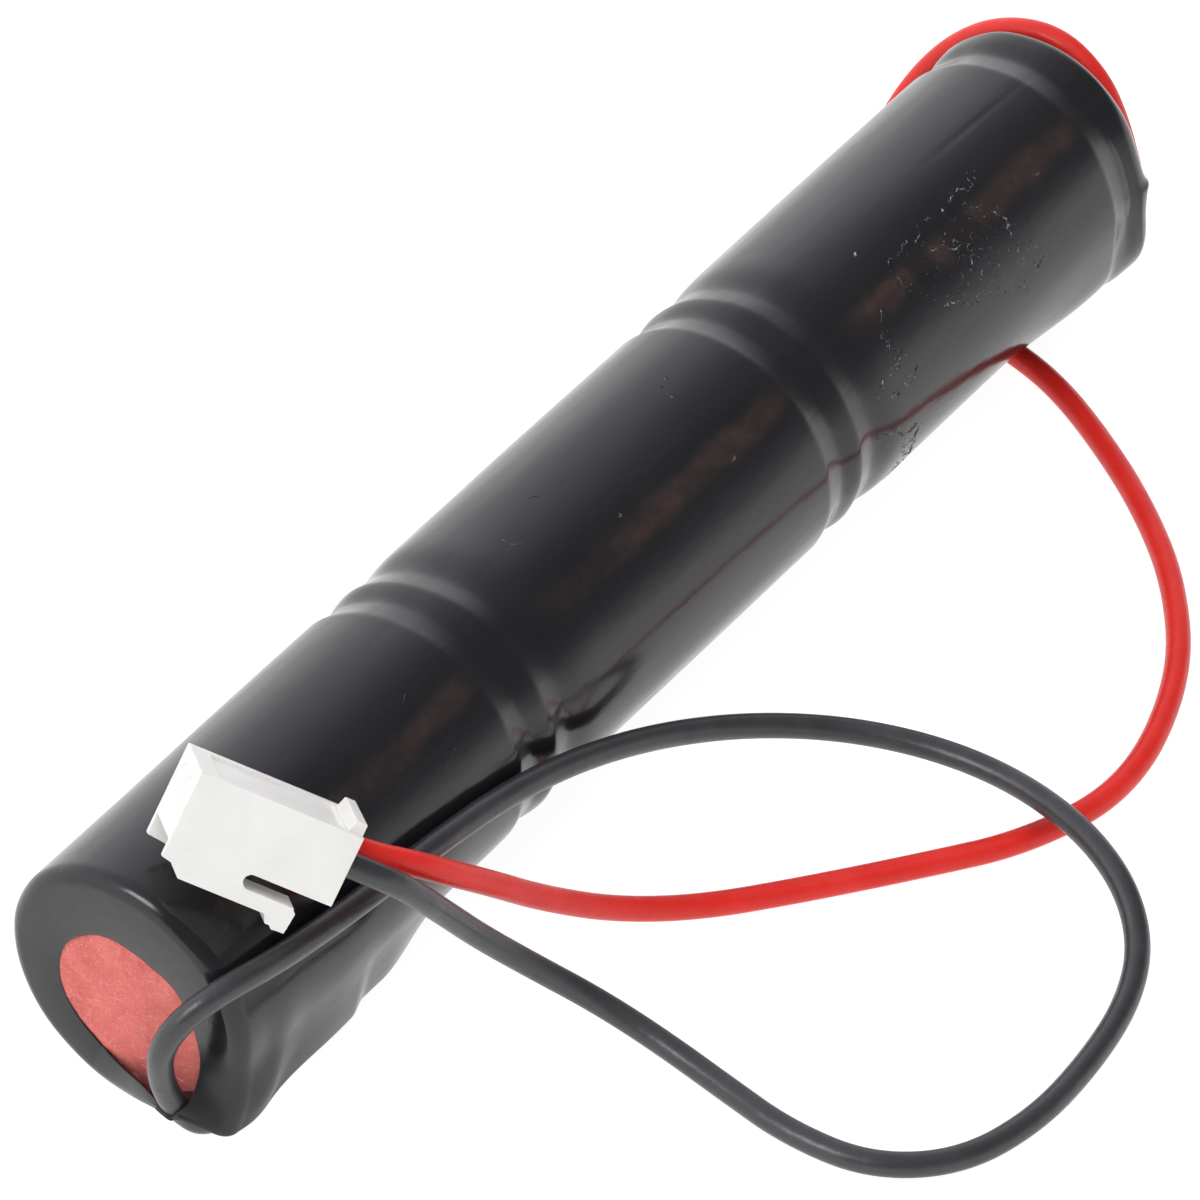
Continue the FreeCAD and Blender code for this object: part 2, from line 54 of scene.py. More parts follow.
BASES = [FIRST_BASE + cell * CELL_PITCH for cell in range(4)]      # cells' starts, and the last end
JOINT_MIDDLE = -3.5             # middle of a joint's waists, from the next cell's base
LEAD_RADIUS = 1.5
PROP_PLACE = 167.0              # where the far end lies on the red lead
PROP_HEIGHT = 3.3
TILT = math.asin(PROP_HEIGHT / PROP_PLACE)
LEAN = 2 * SLEEVE_RADIUS - RIM_RADIUS
FAR_EDGE = SLEEVE_LENGTH * math.cos(TILT) - RIM_RADIUS * math.sin(TILT)
MIDDLE = (FAR_EDGE - LEAN * math.sin(TILT)) / 2
LIFT = RIM_RADIUS * (1 - math.sin(TILT) - math.cos(TILT))

# The leads' control points, in the row frame, from the sleeve to the plug
BLACK_ROUTE = [
    (-88.13, -12.07, 3.5), (-93.03, -12.07, 3.41),
    (-95.4, -9.3, 6.8), (-97.6, -9.0, 12.8), (-98.8, -10.1, 18.8),
    (-97.6, -12.2, 23.4), (-93.4, -14.8, 26.2), (-86.0, -16.3, 25.7), (-77.6, -16.7, 24.6),
    (-67.6, -17.0, 23.6), (-57.4, -17.4, 22.9), (-46.8, -17.8, 21.7), (-36.4, -18.4, 19.2),
    (-26.8, -19.7, 16.3), (-17.9, -21.7, 13.1), (-10.0, -25.1, 10.4), (-3.8, -30.2, 8.7),
    (0.4, -36.4, 7.9), (3.0, -43.7, 7.6), (3.9, -51.6, 7.6), (3.1, -59.6, 7.6),
    (0.8, -67.5, 7.4), (-2.6, -74.4, 6.0), (-6.9, -79.2, 3.1), (-14.0, -82.2, 1.5),
    (-24.0, -84.0, 1.5), (-35.8, -84.4, 1.5), (-46.6, -81.4, 1.5), (-53.2, -73.6, 1.5),
    (-54.1, -63.2, 1.5), (-52.3, -53.3, 1.5), (-51.2, -43.8, 2.4), (-52.6, -36.0, 5.4),
    (-56.9, -30.3, 10.7), (-62.0, -26.8, 17.0), (-67.0, -25.6, 23.6), (-71.2, -25.0, 29.0),
    (-73.8, -23.9, 32.2),
    (-75.82, -22.14, 34.21), (-77.52, -19.52, 35.79),
]
RED_ROUTE = [
    (92.69, -7.16, 4.66), (95.48, -7.16, 4.72),
    (97.4, -7.6, 6.6), (97.5, -8.9, 10.6), (96.9, -10.0, 14.8), (96.0, -9.9, 19.2),
    (95.8, -8.3, 24.4), (95.9, -5.2, 29.9), (95.9, 1.0, 33.6), (95.6, 8.6, 32.0),
    (95.0, 15.0, 27.1), (93.0, 19.6, 20.4), (89.4, 22.0, 13.0), (85.4, 22.2, 7.0),
    (81.6, 18.6, 2.8), (78.6, 12.0, 1.5), (76.9, 3.4, 1.5), (75.8, -6.0, 1.5),
    (73.4, -14.6, 1.5), (68.4, -24.0, 1.5), (60.5, -35.8, 1.5), (50.3, -47.2, 1.5),
    (36.2, -57.1, 1.5), (17.0, -62.6, 1.5), (2.0, -58.4, 1.5), (-9.4, -50.2, 1.5),
    (-20.7, -41.6, 1.5), (-30.6, -34.6, 2.4), (-40.8, -29.9, 7.1), (-50.5, -26.8, 14.4),
    (-58.0, -25.0, 21.3), (-64.1, -23.8, 26.7), (-68.6, -22.0, 30.5),
    (-72.21, -18.91, 32.76), (-73.92, -16.29, 34.34),
]
BLACK_LENGTH = 313.6
RED_LENGTH = 307.8

PLUG_CORNER = Vector((-91.7, -6.4, 42.4))       # where its mating face, latch side and near side meet
PLUG_ALONG = Vector((0.487, -0.747, -0.452))
PLUG_UP = Vector((0.604, -0.086, 0.792))
PLUG_WIDTH = 11.0
PLUG_HEIGHT = 8.45
PLUG_LENGTH = 19.7

CAMERA_PLACE = Vector((-650.7, -453.0, 693.0))
CAMERA_BACK = Vector((-0.6212, -0.4336, 0.6528))
CAMERA_UP = Vector((0.5263, 0.3863, 0.7574))
CAMERA_LENS = 267.6
FLOOR_REACH = 4.0               # metres


# ---- camera, floor and light ----
def make_camera():
    data = bpy.data.cameras.new("camera")
    data.lens = CAMERA_LENS
    data.clip_start = 0.05
    data.clip_end = 50
    camera = bpy.data.objects.new("camera", data)
    bpy.context.scene.collection.objects.link(camera)
    back = CAMERA_BACK.normalized()
    right = CAMERA_UP.cross(back).normalized()
    up = back.cross(right)
    turn = Matrix((right, up, back)).transposed().to_4x4()
    camera.matrix_world = Matrix.Translation(CAMERA_PLACE * MM) @ turn
    bpy.context.scene.camera = camera


def make_lamp(name, place, size, power, glossy):
    """A square soft lamp that looks at the middle of the object. A glossy one only makes highlights."""
    data = bpy.data.lights.new(name, "AREA")
    data.size = size
    data.energy = power
    lamp = bpy.data.objects.new(name, data)
    bpy.context.scene.collection.objects.link(lamp)
    lamp.location = place
    lamp.rotation_euler = Vector(place).to_track_quat("Z", "Y").to_euler()
    lamp.visible_glossy = glossy
    lamp.visible_diffuse = not glossy


def make_stage():
    """A pale floor that glows a little, as paper on a light table does, and a studio round it."""
    mesh = bpy.data.meshes.new("floor")
    corners = [(x * FLOOR_REACH, y * FLOOR_REACH, 0) for x, y in ((-1, -1), (1, -1), (1, 1), (-1, 1))]
    mesh.from_pydata(corners, [], [(0, 1, 2, 3)])
    floor = bpy.data.objects.new("floor", mesh)
    bpy.context.scene.collection.objects.link(floor)
    floor.location.z = -0.0002
    material, shader = new_material("floor")
    shader.inputs["Base Color"].default_value = (0.3, 0.3, 0.3, 1)
    shader.inputs["Roughness"].default_value = 0.9
    shader.inputs["Specular IOR Level"].default_value = 0.0
    shader.inputs["Emission Color"].default_value = (1, 1, 1, 1)
    shader.inputs["Emission Strength"].default_value = 0.92
    mesh.materials.append(material)
    make_sky()
    make_lamp("overhead", (-0.3, -0.1, 1.6), 1.6, 19.0, False)
    make_lamp("side", (-1.3, -1.0, 0.9), 0.9, 7.0, False)
    make_lamp("glint", (-1.08, 0.34, 0.95), 0.5, 6.5, True)


def make_sky():
    """A ramp round the stick's direction: bright beyond it, dim above, pale again at the camera's side."""
    world = bpy.data.worlds.new("studio")
    bpy.context.scene.world = world
    world.use_nodes = True
    nodes, links = world.node_tree.nodes, world.node_tree.links
    place = nodes.new("ShaderNodeTexCoord")
    axes = nodes.new("ShaderNodeSeparateXYZ")
    links.new(place.outputs["Generated"], axes.inputs[0])
    turn = nodes.new("ShaderNodeMath")
    turn.operation = "ARCTAN2"
    links.new(axes.outputs["Z"], turn.inputs[0])
    links.new(axes.outputs["Y"], turn.inputs[1])
    share = nodes.new("ShaderNodeMapRange")
    share.inputs["From Min"].default_value = 0.0
    share.inputs["From Max"].default_value = math.pi
    links.new(turn.outputs[0], share.inputs["Value"])
    ramp = nodes.new("ShaderNodeValToRGB")
    fill_ramp(ramp, [
        (0.0, (1.0, 0.99, 1.0)), (0.16, (0.98, 0.96, 1.0)), (0.28, (0.82, 0.79, 0.86)),
        (0.38, (0.5, 0.48, 0.54)), (0.49, (0.24, 0.23, 0.26)), (0.6, (0.13, 0.127, 0.14)),
        (0.76, (0.1, 0.1, 0.105)), (0.88, (0.23, 0.23, 0.24)), (1.0, (0.78, 0.78, 0.8)),
    ])
    links.new(share.outputs[0], ramp.inputs[0])
    sky = nodes["Background"]
    links.new(ramp.outputs["Color"], sky.inputs["Color"])
    sky.inputs["Strength"].default_value = 1.4


# ---- material helpers ----
def new_material(name):
    material = bpy.data.materials.new(name)
    material.use_nodes = True
    return material, material.node_tree.nodes["Principled BSDF"]


def fill_ramp(ramp, stops):
    """Gives a colour ramp node its (place, colour) stops."""
    elements = ramp.color_ramp.elements
    while len(elements) < len(stops):
        elements.new(0.5)
    for element, (place, colour) in zip(elements, stops):
        element.position = place
        element.color = (*colour, 1)


class Painter:
    """Short calls for the nodes of one material. Texture sizes are in metres of the object."""

    def __init__(self, name):
        self.material, self.shader = new_material(name)
        self.nodes, self.links = self.material.node_tree.nodes, self.material.node_tree.links
        self.place = self.nodes.new("ShaderNodeTexCoord").outputs["Object"]

    def stretched(self, scale, place=None):
        node = self.nodes.new("ShaderNodeMapping")
        node.inputs["Scale"].default_value = scale
        self.links.new(place or self.place, node.inputs["Vector"])
        return node.outputs[0]

    def noise(self, size, detail=4.0, rough=0.55, place=None, distortion=0.0):
        node = self.nodes.new("ShaderNodeTexNoise")
        node.inputs["Scale"].default_value = 1 / size
        node.inputs["Detail"].default_value = detail
        node.inputs["Roughness"].default_value = rough
        node.inputs["Distortion"].default_value = distortion
        self.links.new(place or self.place, node.inputs["Vector"])
        return node.outputs["Fac"]

    def spots(self, size, place=None):
        node = self.nodes.new("ShaderNodeTexVoronoi")
        node.inputs["Scale"].default_value = 1 / size
        self.links.new(place or self.place, node.inputs["Vector"])
        return node.outputs["Distance"]

    def span(self, value, low, high, to_low=0.0, to_high=1.0, smooth=False):
        node = self.nodes.new("ShaderNodeMapRange")
        if smooth:
            node.interpolation_type = "SMOOTHSTEP"
        for name, number in zip(("From Min", "From Max", "To Min", "To Max"), (low, high, to_low, to_high)):
            node.inputs[name].default_value = number
        self.links.new(value, node.inputs["Value"])
        return node.outputs[0]

    def math(self, operation, first, second=None):
        node = self.nodes.new("ShaderNodeMath")
        node.operation = operation
        for socket, value in zip(node.inputs, (first, second)):
            if isinstance(value, (int, float)):
                socket.default_value = value
            elif value is not None:
                self.links.new(value, socket)
        return node.outputs[0]

    def mix(self, factor, first, second):
        node = self.nodes.new("ShaderNodeMix")
        node.data_type = "RGBA"
        for socket, value in zip((node.inputs[0], node.inputs[6], node.inputs[7]), (factor, first, second)):
            if isinstance(value, tuple):
                socket.default_value = (*value, 1)
            else:
                self.links.new(value, socket)
        return node.outputs[2]

    def bump(self, height, depth, strength=1.0, under=None):
        node = self.nodes.new("ShaderNodeBump")
        node.inputs["Strength"].default_value = strength
        node.inputs["Distance"].default_value = depth
        self.links.new(height, node.inputs["Height"])
        if under is not None:
            self.links.new(under, node.inputs["Normal"])
        return node.outputs[0]

    def give(self, **sockets):
        """Sets or links the shader's sockets, and returns the material."""
        names = {"colour": "Base Color", "rough": "Roughness", "normal": "Normal", "metal": "Metallic",
                 "level": "Specular IOR Level", "sheen": "Sheen Weight",
                 "inside": "Subsurface Weight", "inside_scale": "Subsurface Scale"}
        for name, value in sockets.items():
            socket = self.shader.inputs[names[name]]
            if isinstance(value, (int, float)):
                socket.default_value = value
            else:
                self.links.new(value, socket)
        return self.material


# ---- materials ----
BROWN_REFLECTION_ANGLE = 126.5
# where the painted brown reflection breaks off: (middle, half width, soft edge, what is left of the painted
# reflection)
BROWN_REFLECTION_GAPS = [(place + JOINT_MIDDLE, 5.5, 5.0, 0.12) for place in BASES]
BROWN_REFLECTION_GAPS += [(142.5, 1.2, 2.0, 0.25), (150.5, 2.0, 2.0, 0.25)]
FLAP_ANGLE = -135.0


def stick_places(paint):
    """Distance along the stick and angle round it, both from the object's own coordinates."""
    shift = paint.nodes.new("ShaderNodeMapping")
    shift.inputs["Location"].default_value = (MIDDLE * MM, 0, -LIFT * MM)
    paint.links.new(paint.place, shift.inputs["Vector"])
    turn = paint.nodes.new("ShaderNodeVectorRotate")
    turn.rotation_type = "Y_AXIS"
    turn.inputs["Angle"].default_value = TILT
    paint.links.new(shift.outputs[0], turn.inputs["Vector"])
    axes = paint.nodes.new("ShaderNodeSeparateXYZ")
    paint.links.new(turn.outputs[0], axes.inputs[0])
    along = paint.math("MULTIPLY", axes.outputs["X"], 1 / MM)
    height = paint.math("SUBTRACT", axes.outputs["Z"], SLEEVE_RADIUS * MM)
    angle = paint.math("MULTIPLY", paint.math("ARCTAN2", height, axes.outputs["Y"]), 180 / math.pi)
    return turn.outputs[0], along, angle


def band(paint, value, middle, half, soft):
    """One inside a band of values and zero outside it, with soft edges."""
    off = paint.math("ABSOLUTE", paint.math("SUBTRACT", value, middle))
    return paint.span(off, half, half + soft, 1.0, 0.0, smooth=True)


def sleeve_material():
    paint = Painter("shrink_sleeve")
    local, along, angle = stick_places(paint)
    # a painted reflection: a brownish strip along one line of each cell, standing in for something brown
    # reflected in the film
    patch = paint.noise(0.012, 3, 0.6, paint.stretched((0.5, 1, 1), local))
    mottle = paint.noise(0.0016, 4, 0.7, local)
    drift = paint.math("ADD", angle, paint.span(paint.noise(0.006, 2, 0.5, local), 0.3, 0.7, -1.5, 1.5))
    line = band(paint, drift, BROWN_REFLECTION_ANGLE, 1.6, 7.0)
    painted_reflection = paint.math("MULTIPLY", line, paint.span(patch, 0.36, 0.6, 0.2, 1.0))
    for middle, half, soft, left in BROWN_REFLECTION_GAPS:
        gap = band(paint, along, middle, half, soft)
        painted_reflection = paint.math("MULTIPLY", painted_reflection, paint.span(gap, 0.0, 1.0, 1.0, left))
    painted_reflection = paint.math("MULTIPLY", painted_reflection, paint.span(mottle, 0.25, 0.7, 0.35, 1.0))
    tone = paint.mix(paint.noise(0.02, 2, 0.5, local), (0.0085, 0.0085, 0.0098), (0.0135, 0.0135, 0.0148))
    # fine dust and rubbed spots
    dust = paint.span(paint.spots(0.0042, local), 0.0, 0.035, 1.0, 0.0)
    dust = paint.math("MULTIPLY", dust, paint.span(paint.noise(0.013, 2, 0.5, local), 0.55, 0.7))
    # the painted brown reflection is mixed into the film's own colour here
    tone = paint.mix(painted_reflection, tone, (0.058, 0.036, 0.029))
    colour = paint.mix(paint.math("MULTIPLY", dust, 0.35), tone, (0.3, 0.3, 0.3))
    haze = paint.noise(0.006, 4, 0.6, local)
    streak = paint.noise(0.0016, 3, 0.6, paint.stretched((0.06, 1, 1), local))
    rough = paint.math("ADD", paint.span(haze, 0.3, 0.7, 0.13, 0.2), paint.span(streak, 0.4, 0.7, 0.0, 0.04))
    # duller where the near end's film is crumpled round the flap
    near_end = paint.span(along, 5.0, 22.0, 1.0, 0.0, True)
    crumpled = paint.math("MULTIPLY", near_end, band(paint, angle, FLAP_ANGLE, 26.0, 18.0))
    rough = paint.math("ADD", rough, paint.math("MULTIPLY", crumpled, 0.24))
    ripple = paint.bump(paint.noise(0.0035, 3, 0.5, paint.stretched((0.3, 1, 1), local)), 0.00007)
    pores = paint.bump(paint.noise(0.0005, 2, 0.5, local), 0.000006, 1.0, ripple)
    return paint.give(colour=colour, rough=rough, normal=pores, level=0.5)


def lead_material(name, deep, light, rough, level):
    paint = Painter(name)
    cloud = paint.noise(0.006, 4, 0.6)
    grain = paint.noise(0.0006, 3, 0.6)
    colour = paint.mix(paint.span(cloud, 0.3, 0.7), deep, light)
    scuff = paint.span(paint.noise(0.0025, 5, 0.75), 0.6, 0.75)
    gloss = paint.math("ADD", paint.span(grain, 0.3, 0.7, rough - 0.05, rough + 0.05),
                       paint.math("MULTIPLY", scuff, 0.12))
    dents = paint.bump(paint.noise(0.003, 3, 0.5), 0.00012)
    skin = paint.bump(grain, 0.000018, 1.0, dents)
    return paint.give(colour=colour, rough=gloss, normal=skin, level=level)


def paper_material():
    paint = Painter("red_paper")
    blotch = paint.noise(0.0042, 5, 0.65)
    fleck = paint.noise(0.00055, 4, 0.7, distortion=1.2)
    strand = paint.noise(0.0011, 3, 0.6, paint.stretched((1, 0.25, 1.6)), 2.0)
    colour = paint.mix(paint.span(blotch, 0.3, 0.7), (0.56, 0.1, 0.085), (0.72, 0.165, 0.145))
    colour = paint.mix(paint.span(fleck, 0.5, 0.72, 0.0, 0.55), colour, (0.9, 0.36, 0.3))
    colour = paint.mix(paint.span(strand, 0.58, 0.74, 0.0, 0.4), colour, (0.42, 0.05, 0.045))
    height = paint.math("ADD", fleck, strand)
    return paint.give(colour=colour, rough=paint.span(fleck, 0.3, 0.7, 0.75, 0.95),
                      normal=paint.bump(height, 0.00012, 0.8), sheen=0.15, level=0.25)


def plug_material():
    paint = Painter("moulded_nylon")
    cloud = paint.noise(0.005, 3, 0.5)
    grain = paint.noise(0.00035, 3, 0.6)
    colour = paint.mix(paint.span(cloud, 0.3, 0.7), (0.7, 0.7, 0.665), (0.75, 0.75, 0.72))
    gloss = paint.span(paint.noise(0.0012, 4, 0.6), 0.3, 0.7, 0.3, 0.46)
    skin = paint.bump(grain, 0.000012, 1.0, paint.bump(paint.noise(0.004, 2, 0.5), 0.00005))
    return paint.give(colour=colour, rough=gloss, normal=skin, inside=0.15, inside_scale=0.0008, level=0.45)


def plain_material(name, first, second, size, rough, depth, metal=0.0, stretch=(1, 1, 1)):
    """A material of the pieces inside: two tones in a grain, with its own gloss and relief."""
    paint = Painter(name)
    place = paint.stretched(stretch)
    grain = paint.noise(size, 4, 0.6, place)
    wear = paint.noise(size * 6, 3, 0.6)
    colour = paint.mix(paint.span(grain, 0.35, 0.65), first, second)
    colour = paint.mix(paint.span(wear, 0.55, 0.75, 0.0, 0.3), colour, tuple(0.6 * v for v in first))
    gloss = paint.span(paint.math("ADD", grain, wear), 0.7, 1.3, rough - 0.07, rough + 0.07)
    return paint.give(colour=colour, rough=gloss, normal=paint.bump(grain, depth), metal=metal)


def fibre_material():
    paint = Painter("paper_fibre")
    tuft = paint.noise(0.0016, 3, 0.6)
    grain = paint.noise(0.0003, 2, 0.6)
    colour = paint.mix(paint.span(tuft, 0.35, 0.65), (0.78, 0.3, 0.26), (0.9, 0.62, 0.55))
    return paint.give(colour=colour, rough=paint.span(grain, 0.3, 0.7, 0.7, 0.9),
                      normal=paint.bump(grain, 0.00002), sheen=0.2, level=0.3)


def residue_material():
    paint = Painter("glue_residue")
    glint_speck = paint.noise(0.0007, 3, 0.7)
    crumb = paint.noise(0.0025, 3, 0.6)
    # painted highlights: white specks painted into the glue's colour stand in for small glints on the dark
    # film; the same noise also gives the relief
    colour = paint.mix(paint.span(glint_speck, 0.52, 0.64), (0.025, 0.026, 0.028), (0.42, 0.42, 0.43))
    return paint.give(colour=colour, rough=paint.span(crumb, 0.3, 0.7, 0.22, 0.5),
                      normal=paint.bump(glint_speck, 0.00008, 1.0, paint.bump(crumb, 0.0002)), level=0.6)


MATERIALS = {
    "sleeve": sleeve_material(),
    "red_insulation": lead_material("red_insulation", (0.62, 0.02, 0.014), (0.7, 0.03, 0.022), 0.34, 0.26),
    "black_insulation": lead_material("black_insulation", (0.024, 0.0235, 0.0255), (0.037, 0.036, 0.039),
                                      0.34, 0.6),
    "plug_plastic": plug_material(),
    "red_paper": paper_material(),
}
INSIDE_MATERIALS = {    # two tones, size of the grain, roughness, depth of the relief, metal, stretch
    "tinned_copper": ((0.78, 0.77, 0.75), (0.62, 0.6, 0.58), 0.0006, 0.34, 0.00004, 1.0),
    "contact": ((0.8, 0.74, 0.62), (0.72, 0.66, 0.54), 0.001, 0.3, 0.00002, 1.0),
    "nickel_plate": ((0.7, 0.69, 0.66), (0.58, 0.57, 0.55), 0.0008, 0.3, 0.00002, 1.0, (0.1, 1, 1)),
    "cell_plastic": ((0.05, 0.05, 0.055), (0.08, 0.08, 0.085), 0.0012, 0.5, 0.00002),
    "vent_rubber": ((0.02, 0.02, 0.02), (0.035, 0.035, 0.035), 0.0008, 0.65, 0.00003),
    "electrode_roll": ((0.06, 0.06, 0.065), (0.3, 0.3, 0.29), 0.0006, 0.6, 0.00003, 0.0, (1, 4, 4)),
    "card": ((0.62, 0.58, 0.5), (0.7, 0.67, 0.6), 0.0009, 0.85, 0.00005),
}
for material_name, looks in INSIDE_MATERIALS.items():
    MATERIALS[material_name] = plain_material(material_name, *looks)


def paint_cad_nodes():
    for part in frame["record"]["subparts"]:
        data = frame["nodes"][part["node"]].data
        data.materials.clear()
        data.materials.append(MATERIALS[part["material_slot"]])


# ---- mesh helpers ----
WAVE_COUNT = 28


def to_row(points):
    """Points of the stick's own frame, in mm, in the row frame, in metres."""
    x, y, z = points[..., 0], points[..., 1], points[..., 2]
    cosine, sine = math.cos(TILT), math.sin(TILT)
    placed = (cosine * x - sine * z - MIDDLE, y, sine * x + cosine * z + LIFT)
    return np.stack(placed, -1) * MM


def from_row(points):
    """The other way round, for points in mm."""
    x, y, z = points[..., 0] + MIDDLE, points[..., 1], points[..., 2] - LIFT
    cosine, sine = math.cos(TILT), math.sin(TILT)
    return np.stack((cosine * x + sine * z, y, cosine * z - sine * x), -1)


def add_piece(name, vertices, faces, material_slot, smooth=True):
    mesh = bpy.data.meshes.new(name)
    mesh.from_pydata([tuple(v) for v in vertices], [], faces)
    mesh.validate()
    mesh.update()
    if smooth:
        mesh.shade_smooth()
    return add_object(name, mesh, material_slot)


def add_object(name, data, material_slot, body="pack"):
    piece = bpy.data.objects.new(name, data)
    bpy.context.scene.collection.objects.link(piece)
    data.materials.clear()
    data.materials.append(MATERIALS[material_slot])
    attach(piece, body)
    return piece


def waves(points, size, seed):
    """A smooth random field, about -1 to 1, whose bumps are about this size."""
    draw = np.random.default_rng(seed)
    way = draw.normal(size=(WAVE_COUNT, 3))
    way /= np.linalg.norm(way, axis=1)[:, None]
    pace = 2 * math.pi / (size * draw.uniform(0.8, 1.7, WAVE_COUNT))
    start = draw.uniform(0, 2 * math.pi, WAVE_COUNT)
    total = np.zeros(points.shape[:-1])
    for direction, rate, phase in zip(way, pace, start):
        total += np.sin(points @ direction * rate + phase)
    return total / math.sqrt(WAVE_COUNT / 2) * 0.6


def bell(value, middle, half):
    """One at the middle, falling off smoothly on both sides."""
    return np.exp(-((value - middle) / half) ** 2)


def turned(angle, middle):
    """How far an angle is from another, in degrees, the short way round."""
    return (angle - middle + 180) % 360 - 180


# ---- leads ----
def make_lead(colour, route):
    name = f"lead_{colour}_insulation"
    curve = bpy.data.curves.new(name, "CURVE")
    curve.dimensions = "3D"
    spline = curve.splines.new("NURBS")
    spline.points.add(len(route) - 1)
    for point, place in zip(spline.points, route):
        point.co = (*(Vector(place) * MM), 1)
    spline.order_u = 3
    spline.use_endpoint_u = True
    spline.resolution_u = 14
    spline.use_smooth = True
    curve.bevel_depth = LEAD_RADIUS * MM
    curve.bevel_resolution = 12
    curve.use_fill_caps = True
    lead = add_object(name, curve, f"{colour}_insulation")
    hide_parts(f"lead_{colour}")


# ---- sleeve ----
COLUMNS = 480
BARREL_STEP = 0.45
FILM_RIM = 1.9                  # radius of the film's turn from its side to its end
LIFTED_ROWS = 150               # rows at the near end that the lead may lift
RELAXING, HOLDING = 1500, 1430  # smoothing steps, and how many of them keep clear of the lead
OPENING = [                     # (y, z) round the hole that each shrunk end leaves
    (9.4, 15.5), (5.5, 22.2), (3.0, 23.5), (-0.7, 23.4), (-3.8, 22.4), (-7.1, 20.7), (-8.0, 19.4),
    (-9.7, 15.0), (-10.1, 12.9), (-9.6, 8.2), (-8.6, 4.9), (-6.2, 1.9), (-1.9, 3.7), (4.6, 6.8), (9.2, 12.8),
]
TIP_ANGLE = 246.8               # the near hole's sharp corner
TAIL_ANGLE = 227.0              # the black lead under the film
FAR_TAIL_ANGLE = 245.0          # the red one
FLANK_ANGLE = 216.0             # middle of the far end's loose side
TAB_ANGLE = 173.5
CREASE_ANGLE = 96.5
TENT_THICK = 1.9                # a lead with the film over it
# the black lead's middle, in the row frame, where it bends out under the flap
LEAD_UNDER = [(-86.0, -12.07, 3.5), (-93.0, -12.0, 3.5), (-94.2, -10.7, 5.1), (-95.2, -9.9, 7.1)]


def opening_radius(angles):
    """The hole's edge, as its distance from the axis at each angle."""
    corners = np.array(OPENING) - (0, SLEEVE_RADIUS)
    at = np.degrees(np.arctan2(corners[:, 1], corners[:, 0])) % 360
    far = np.hypot(corners[:, 0], corners[:, 1])
    order = np.argsort(at)
    fine = np.arange(0, 360, 0.25)
    straight = np.interp(fine, at[order], far[order], period=360)
    reach = np.arange(-48, 49)
    weights = np.exp(-(reach / 18.0) ** 2)
    smooth = sum(w * np.roll(straight, r) for w, r in zip(weights, reach)) / weights.sum()
    sharp = bell(turned(fine, TIP_ANGLE), 0, 7.0)
    return np.interp(angles, fine, smooth * (1 - sharp) + straight * sharp, period=360)


def dip(x, crest, middle, after):
    """A groove that the film drops into over a crisp crest and climbs out of softly."""
    share = np.clip((x - crest) / (middle - crest), 0, 1)
    return np.where(x < middle, 1 - (1 - share) ** 1.35, bell(x, middle, after))


def groove_profile(x):
    """The waists that the film takes over each cell's bead and between two cells."""
    depth = np.zeros_like(x)
    for base in BASES[1:3]:
        depth += 0.74 * dip(x, base - 10.5, base - 7.0, 1.9)
        depth += 0.66 * dip(x, base - 3.9, base - 0.6, 2.8)
    depth += 0.86 * dip(x, BASES[3] - 10.7, BASES[3] - 7.0, 1.9)
    return -depth


def tent(across, height):
    """Rise of a film drawn over a lead on a round body, at angles across from the lead's middle."""
    middle = SLEEVE_RADIUS + height - TENT_THICK
    lean = np.arccos((SLEEVE_RADIUS - TENT_THICK) / middle)
    swing = np.abs(np.radians(across))
    flat = SLEEVE_RADIUS / np.cos(np.maximum(lean - swing, 0))
    crown = np.arctan2(TENT_THICK * np.sin(lean), middle + TENT_THICK * np.cos(lean))
    inside = np.maximum(TENT_THICK ** 2 - (middle * np.sin(swing)) ** 2, 0)
    top = middle * np.cos(swing) + np.sqrt(inside)
    return np.where(swing < crown, top, flat) - SLEEVE_RADIUS


def fade(value, low, high):
    """Zero up to low and one from high on, with a smooth way between."""
    share = np.clip((value - low) / (high - low), 0, 1)
    return share * share * (3 - 2 * share)


